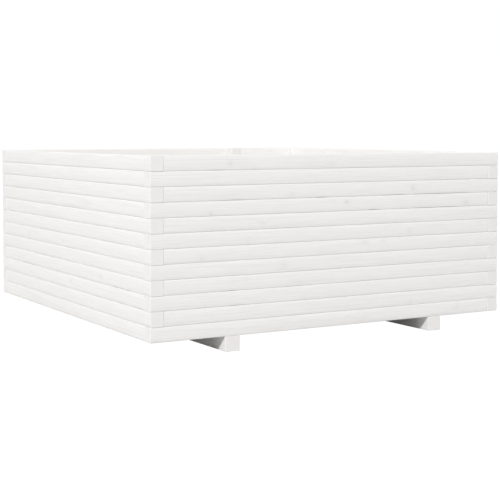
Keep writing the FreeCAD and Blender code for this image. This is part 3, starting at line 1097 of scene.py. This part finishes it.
@dataclass
class Base:
    """The two bearers and the floor boards on them."""

    tree: StickTree
    joinery: Joinery
    board_edge_radius: float = 2.0
    bearer_edge_radius: float = 1.5
    bearer_finish: WhitePine = WhitePine("bearer_pine", saw_depth=0.1)
    board_finish: WhitePine = WhitePine("floor_pine")

    def build(self) -> None:
        """Plane and dress the bearers and the boards."""
        self.bearers()
        self.boards()

    def bearers(self) -> None:
        """Plane and dress both bearers, which run from the front to the back."""
        material = self.bearer_finish.material()
        for node in BEARERS:
            block = Block.of(node)
            stick = Stick(block.spans.y, block.spans.x, block.spans.z, self.bearer_edge_radius,
                          screw=self.joinery.in_bearers, seats=self.joinery.bearer(node))
            turn = (0.0, 0.0, QUARTER_TURN)
            piece = stick.make("planed_" + node, self.tree, material, turn, block.middle)
            dress(piece, node)

    def boards(self) -> None:
        """Plane the floor boards, which run from left to right, and join them to one piece."""
        material = self.board_finish.material()
        block = Block.of("floor_boards")
        boards = []
        for number, y in enumerate(self.joinery.board_middles):
            stick = Stick(block.spans.x, self.joinery.board_width, block.spans.z, self.board_edge_radius,
                          screw=self.joinery.in_boards, seats=self.joinery.board(y))
            place = Vector((block.middle.x, y, block.middle.z))
            name = f"planed_floor_board_{number}"
            boards.append(stick.make(name, self.tree, material, (0.0, 0.0, 0.0), place))
        with bpy.context.temp_override(active_object=boards[0], selected_editable_objects=boards):
            bpy.ops.object.join()
        boards[0].name = boards[0].data.name = "planed_floor_boards"
        dress(boards[0], "floor_boards")


@dataclass
class Uprights:
    """The upright inside the front wall and the one inside the back wall."""

    tree: StickTree
    joinery: Joinery
    edge_radius: float = 2.5
    # The uprights' darker stain is painted shade: it tones down the key lamp's light on them.
    finish: WhitePine = WhitePine("upright_pine", stain=(0.865, 0.854, 0.84))

    def build(self) -> None:
        """Plane and dress both uprights."""
        material = self.finish.material()
        for wall in (Wall.FRONT, Wall.BACK):
            node = wall.node + "_upright"
            block = Block.of(node)
            stick = Stick(block.spans.z, block.spans.y, block.spans.x, self.edge_radius,
                          screw=self.joinery.in_uprights, seats=self.joinery.upright(wall))
            turn = (0.0, -QUARTER_TURN, 0.0)
            piece = stick.make("planed_" + node, self.tree, material, turn, block.middle)
            dress(piece, node)


@dataclass
class Screws:
    """Every screw of the planter."""

    joinery: Joinery
    finish: ZincPlate = ZincPlate()

    def build(self) -> None:
        """Put the four kinds of screws into their seats and dress them."""
        joinery = self.joinery
        tree = ScrewTree()
        material = self.finish.material()
        rows = range(2, joinery.rows + 1)
        groups = (
            (joinery.in_battens, [joinery.batten(wall, row) for wall in Wall for row in rows]),
            (joinery.in_uprights, [joinery.upright(wall) for wall in (Wall.FRONT, Wall.BACK)]),
            (joinery.in_boards, [joinery.board(middle) for middle in joinery.board_middles]),
            (joinery.in_bearers, [joinery.bearer(node) for node in BEARERS]),
        )
        for kind, places in groups:
            seats = sum(places, [])
            values = {"Material": material, "Head": kind.head * MM, "Shank": kind.shank * MM,
                      "Length": kind.length * MM}
            points = [seat.point + seat.aim * kind.recess for seat in seats]
            aims = [seat.aim for seat in seats]
            piece = carve("zinc_" + kind.node, tree.tree, values, points, aims)
            dress(piece, kind.node)


@dataclass(frozen=True)
class Lamp:
    """A round lamp that shines on the middle of the planter."""

    name: str
    towards: Triple
    distance: float
    width: float
    level: float

    def light(self) -> None:
        """Hang the lamp; a level of 1 lights a square-on white surface to white."""
        data = bpy.data.lights.new(self.name, "AREA")
        data.shape = "DISK"
        data.size = self.width
        data.energy = self.level * (math.pi * self.distance) ** 2
        lamp = stand(self.name, data)
        direction = Vector(self.towards).normalized()
        middle = (Vector(CAD_BOX[0]) + Vector(CAD_BOX[1])) / 2.0
        lamp.location = middle + direction * self.distance
        lamp.rotation_euler = direction.to_track_quat("Z", "Y").to_euler()


@dataclass
class Studio:
    """The floor, the lamps, the white surround and the camera, in metres and degrees."""

    lamps: tuple[Lamp, ...] = (
        Lamp("key", (-0.47, -0.405, 0.40), 20.0, 2.3, 0.66),
        Lamp("fill", (0.75, 0.65, 0.12), 20.0, 6.0, 0.35),
    )
    surround_level: float = 0.585
    surround_seen: float = 1.01
    floor_width: float = 24.0
    floor_grey: float = 0.58
    floor_glow: float = 1.12
    floor_glow_share: float = 0.93
    camera_place: Triple = (-1.8014, -3.1919, 0.5531)
    camera_yaw: float = 30.071
    camera_tilt: float = 2.4
    camera_lens: float = 87.05
    camera_shift: float = -0.1352

    def build(self) -> None:
        """Set the studio up."""
        self.floor()
        self.surround()
        for lamp in self.lamps:
            lamp.light()
        self.camera()
        bpy.context.scene.view_settings.view_transform = "Standard"

    def seen(self, graph: Graph) -> Wire:
        """Return 1 for the rays that show a surface to the eye, directly or in gloss or glass."""
        path = graph.add("ShaderNodeLightPath")
        return path.at_least(path.beside("Is Glossy Ray").at_least(path.beside("Is Transmission Ray")))

    def floor(self) -> None:
        """Lay a pale floor that shows white and keeps the planter's soft shadow."""
        half = self.floor_width / 2.0
        mesh = bpy.data.meshes.new("studio_floor")
        corners = [(-half, -half, 0.0), (half, -half, 0.0), (half, half, 0.0), (-half, half, 0.0)]
        mesh.from_pydata(corners, [], [(0, 1, 2, 3)])
        floor = stand("studio_floor", mesh)
        material = bpy.data.materials.new("studio_floor_paper")
        material.use_nodes = True
        graph = Graph(material.node_tree)
        paper = graph.add("ShaderNodeBsdfDiffuse", {"Color": (self.floor_grey,) * 3})
        glow = graph.add("ShaderNodeEmission", {"Strength": self.floor_glow})
        share = self.seen(graph) * self.floor_glow_share
        surface = graph.add("ShaderNodeMixShader", {0: share, 1: paper, 2: glow})
        graph.add("ShaderNodeOutputMaterial", {"Surface": surface})
        mesh.materials.append(material)

    def surround(self) -> None:
        """Surround the planter with white that lights it gently and evenly."""
        world = bpy.data.worlds.new("studio_surround")
        world.use_nodes = True
        graph = Graph(world.node_tree)
        level = self.seen(graph) * (self.surround_seen - self.surround_level) + self.surround_level
        glow = graph.add("ShaderNodeBackground", {"Color": (1.0, 1.0, 1.0), "Strength": level})
        graph.add("ShaderNodeOutputWorld", {"Surface": glow})
        bpy.context.scene.world = world

    def camera(self) -> None:
        """Put the camera where the photograph was taken from."""
        data = bpy.data.cameras.new("camera")
        data.lens = self.camera_lens
        data.shift_y = self.camera_shift
        camera = stand("camera", data)
        camera.location = self.camera_place
        angles = (90.0 - self.camera_tilt, 0.0, -self.camera_yaw)
        camera.rotation_euler = [math.radians(angle) for angle in angles]
        bpy.context.scene.camera = camera


def main() -> None:
    """Build the planter piece by piece and set the studio up around it."""
    logging.basicConfig(level=logging.INFO, format="%(name)s: %(message)s")
    tree = StickTree()
    joinery = Joinery()
    assemblies = (Walls(tree, joinery), Base(tree, joinery), Uprights(tree, joinery), Screws(joinery))
    for assembly in assemblies:
        log.info("building: %s", type(assembly).__name__)
        assembly.build()
    Studio().build()


if __name__ == "__main__":
    main()
